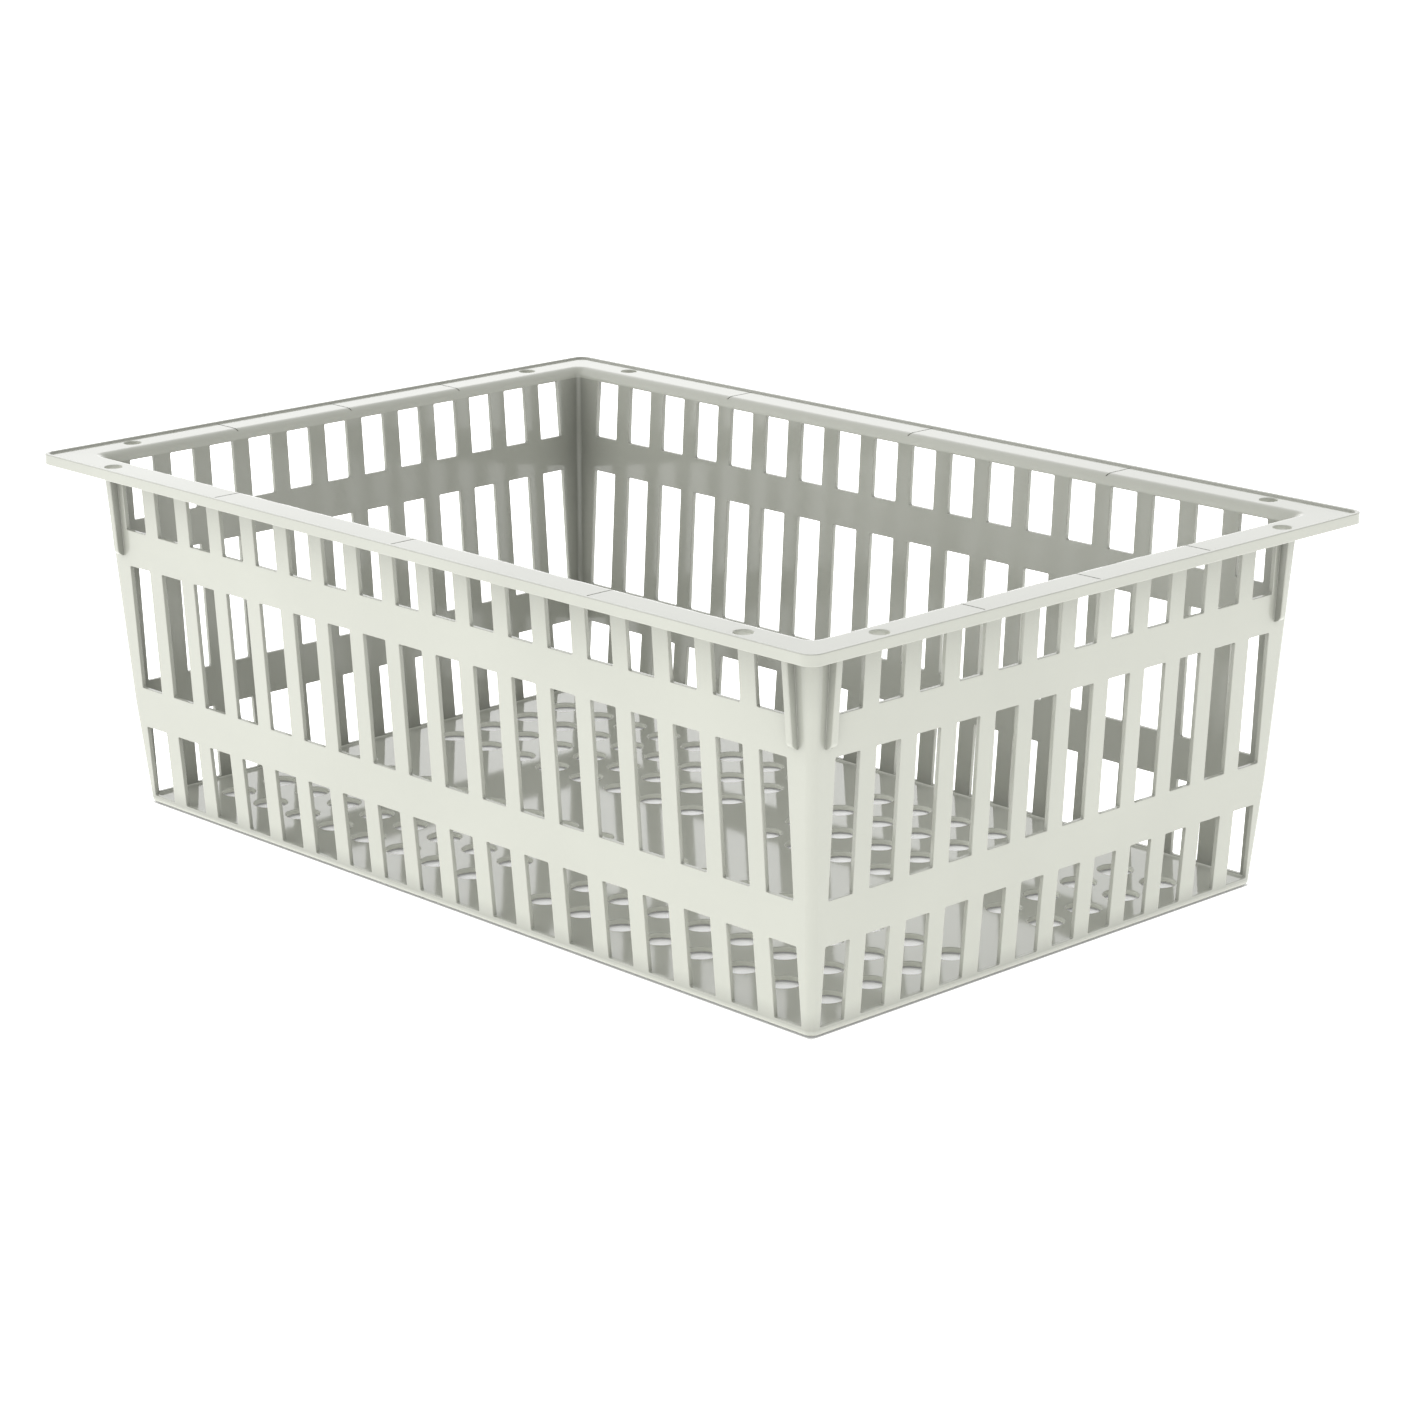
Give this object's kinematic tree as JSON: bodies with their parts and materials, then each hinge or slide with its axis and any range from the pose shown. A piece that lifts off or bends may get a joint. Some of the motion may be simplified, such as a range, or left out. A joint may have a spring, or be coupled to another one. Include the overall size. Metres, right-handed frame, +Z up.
{
  "type": "slotted plastic poultry basket",
  "caption": "Open-top white plastic basket with slotted tapering walls, a perforated flat floor and a wide hanging flange on gusset fins.",
  "frame": {"origin": "centre of the footprint on the surface that the basket stands on", "axes": "+X along the long side, +Y along the short side, +Z up out of the open top"},
  "size_m": [0.6, 0.4, 0.2],
  "materials": {
    "body_plastic": "satin",
    "flange_plastic": "satin",
    "floor_plastic": "gloss"
  },
  "bodies": {
    "root": {"floor_panel": "floor_plastic", "front_wall": "body_plastic", "right_end_wall": "body_plastic", "rear_wall": "body_plastic", "left_end_wall": "body_plastic", "front_left_corner_post": "body_plastic", "front_right_corner_post": "body_plastic", "rear_right_corner_post": "body_plastic", "rear_left_corner_post": "body_plastic", "front_gusset_a": "body_plastic", "front_gusset_b": "body_plastic", "right_end_gusset_a": "body_plastic", "right_end_gusset_b": "body_plastic", "rear_gusset_a": "body_plastic", "rear_gusset_b": "body_plastic", "left_end_gusset_a": "body_plastic", "left_end_gusset_b": "body_plastic", "front_flange_rail": "flange_plastic", "right_end_flange_rail": "flange_plastic", "rear_flange_rail": "flange_plastic", "left_end_flange_rail": "flange_plastic", "front_left_flange_corner": "flange_plastic", "front_right_flange_corner": "flange_plastic", "rear_right_flange_corner": "flange_plastic", "rear_left_flange_corner": "flange_plastic"}
  },
  "joints": []
}
